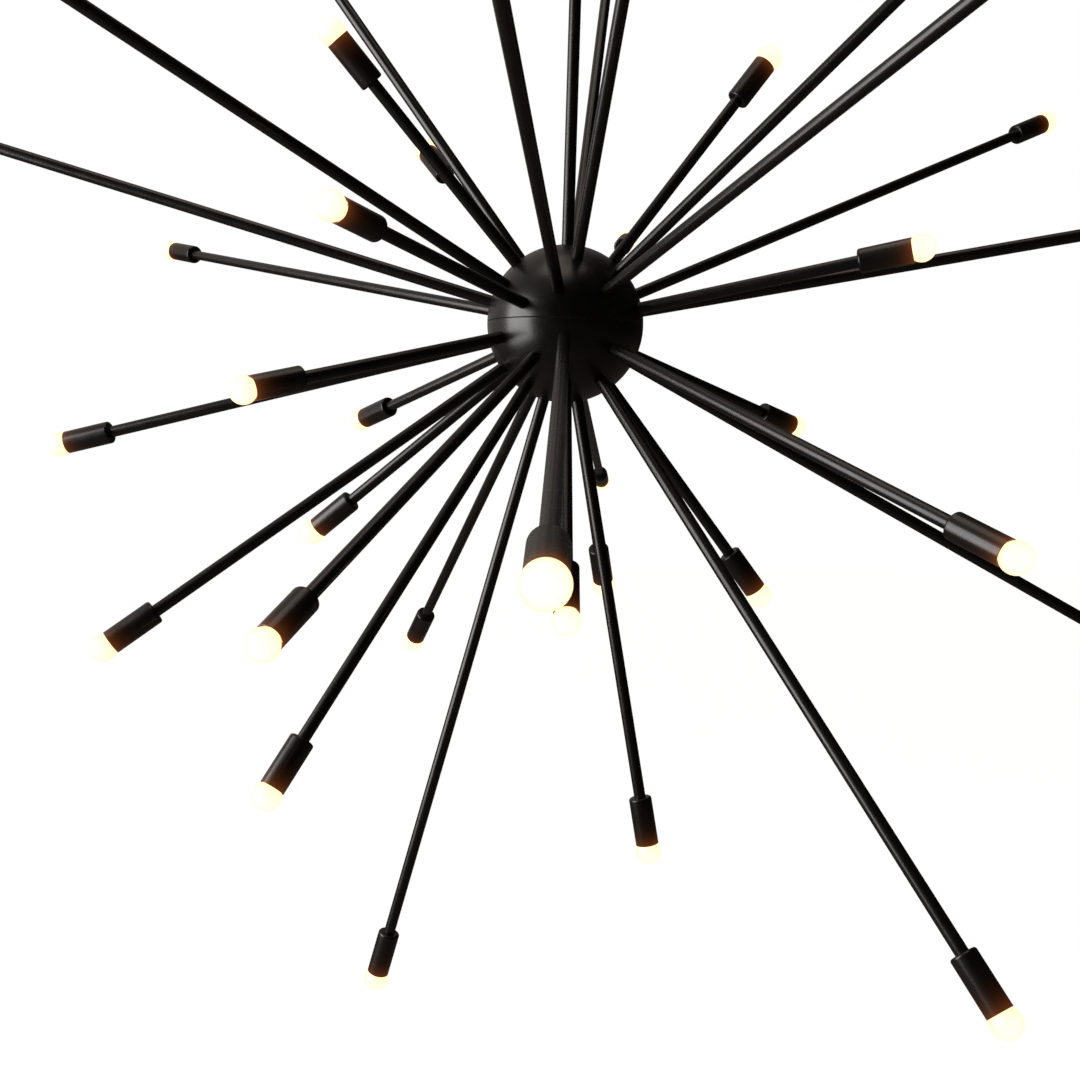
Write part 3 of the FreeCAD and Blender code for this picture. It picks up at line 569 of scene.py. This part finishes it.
tree.links.new(tree.nodes.new("ShaderNodeNewGeometry").outputs["Backfacing"], one_way.inputs["Fac"])
tree.links.new(shader.outputs["BSDF"], one_way.inputs[1])
tree.links.new(clear.outputs["BSDF"], one_way.inputs[2])
tree.links.new(one_way.outputs["Shader"], tree.nodes["Material Output"].inputs["Surface"])
floor_mesh.materials.append(pale)

world = bpy.data.worlds.new("white_studio")
bpy.context.scene.world = world
world.use_nodes = True
tree = world.node_tree
backdrop = tree.nodes["Background"]
ray = tree.nodes.new("ShaderNodeLightPath").outputs
seen = combined(tree, "MAXIMUM", ray["Is Camera Ray"], ray["Is Transmission Ray"])

# In reflections the sweep is brightest behind and to the left, and fades over the angle from there.

dim_room, bright_sweep, soft_fill = 0.015, 0.5, 0.45
bright_side = tree.nodes.new("ShaderNodeVectorMath")
bright_side.operation = "DOT_PRODUCT"
bright_side.inputs[1].default_value = (-0.75, 0.35, 0.35)
tree.links.new(tree.nodes.new("ShaderNodeTexCoord").outputs["Generated"], bright_side.inputs[0])
room = between(tree, bright_side.outputs["Value"], dim_room, bright_sweep, (0.1, 0.9))
mirrored = combined(tree, "MULTIPLY", ray["Is Glossy Ray"], room)
fill = combined(tree, "MULTIPLY", ray["Is Diffuse Ray"], soft_fill)
total = combined(tree, "ADD", combined(tree, "ADD", seen, mirrored), fill)
tree.links.new(two_tone(tree, seen, (1.0, 0.92, 0.84), (1, 1, 1)), backdrop.inputs["Color"])
tree.links.new(total, backdrop.inputs["Strength"])

hub_middle = Vector((0, 0, hub_height))


def soft_light(name, direction, distance, width, height, radiance, colour):
    """A soft rectangular light, aimed at the hub. radiance is how bright its face looks, where 1
    is white paper in full light."""
    lamp = bpy.data.lights.new(name, "AREA")
    lamp.shape = "RECTANGLE"
    lamp.size, lamp.size_y = width, height
    lamp.energy = radiance * math.pi * width * height
    lamp.color = colour
    light = bpy.data.objects.new(name, lamp)
    bpy.context.scene.collection.objects.link(light)
    towards = Vector(direction).normalized()
    light.location = hub_middle + towards * distance
    light.rotation_euler = towards.to_track_quat("Z", "Y").to_euler()


soft_light("window_left", direction=(-0.93, -0.31, 0.03), distance=2.2, width=1.6, height=2.0,
           radiance=7.8, colour=(1.0, 0.985, 0.96))
soft_light("top_light", direction=(-0.1, -0.1, 1.0), distance=2.4, width=1.6, height=1.6,
           radiance=1.6, colour=(1.0, 0.84, 0.74))

# ---------------------------------------------------------------------------------------------
# The camera looks at the lamp from the front and a little below it, tipped down by 4.5 degrees and
# rolled by 1.7 degrees, as the photograph was taken. It frames the arms, not the ceiling.
# ---------------------------------------------------------------------------------------------

frame_pixels, focal_pixels, sensor = 1080, 1282, 36
tip, roll = math.radians(4.5), math.radians(1.7)
hub_offset = (0.0275, 0.2354, 1.399)
ahead = Vector((0, math.cos(tip), -math.sin(tip)))
level_right = Vector((1, 0, 0))
level_up = level_right.cross(ahead)
right = math.cos(roll) * level_right + math.sin(roll) * level_up
up = math.cos(roll) * level_up - math.sin(roll) * level_right
lens = bpy.data.cameras.new("photo_camera")
lens.sensor_width = sensor
lens.lens = sensor * focal_pixels / frame_pixels
camera = bpy.data.objects.new("photo_camera", lens)
bpy.context.scene.collection.objects.link(camera)
camera.matrix_world = Matrix.Translation(
    hub_middle - hub_offset[0] * right - hub_offset[1] * up - hub_offset[2] * ahead
) @ Matrix((right, up, -ahead)).transposed().to_4x4()
bpy.context.scene.camera = camera
bpy.context.scene.view_settings.view_transform = "Standard"
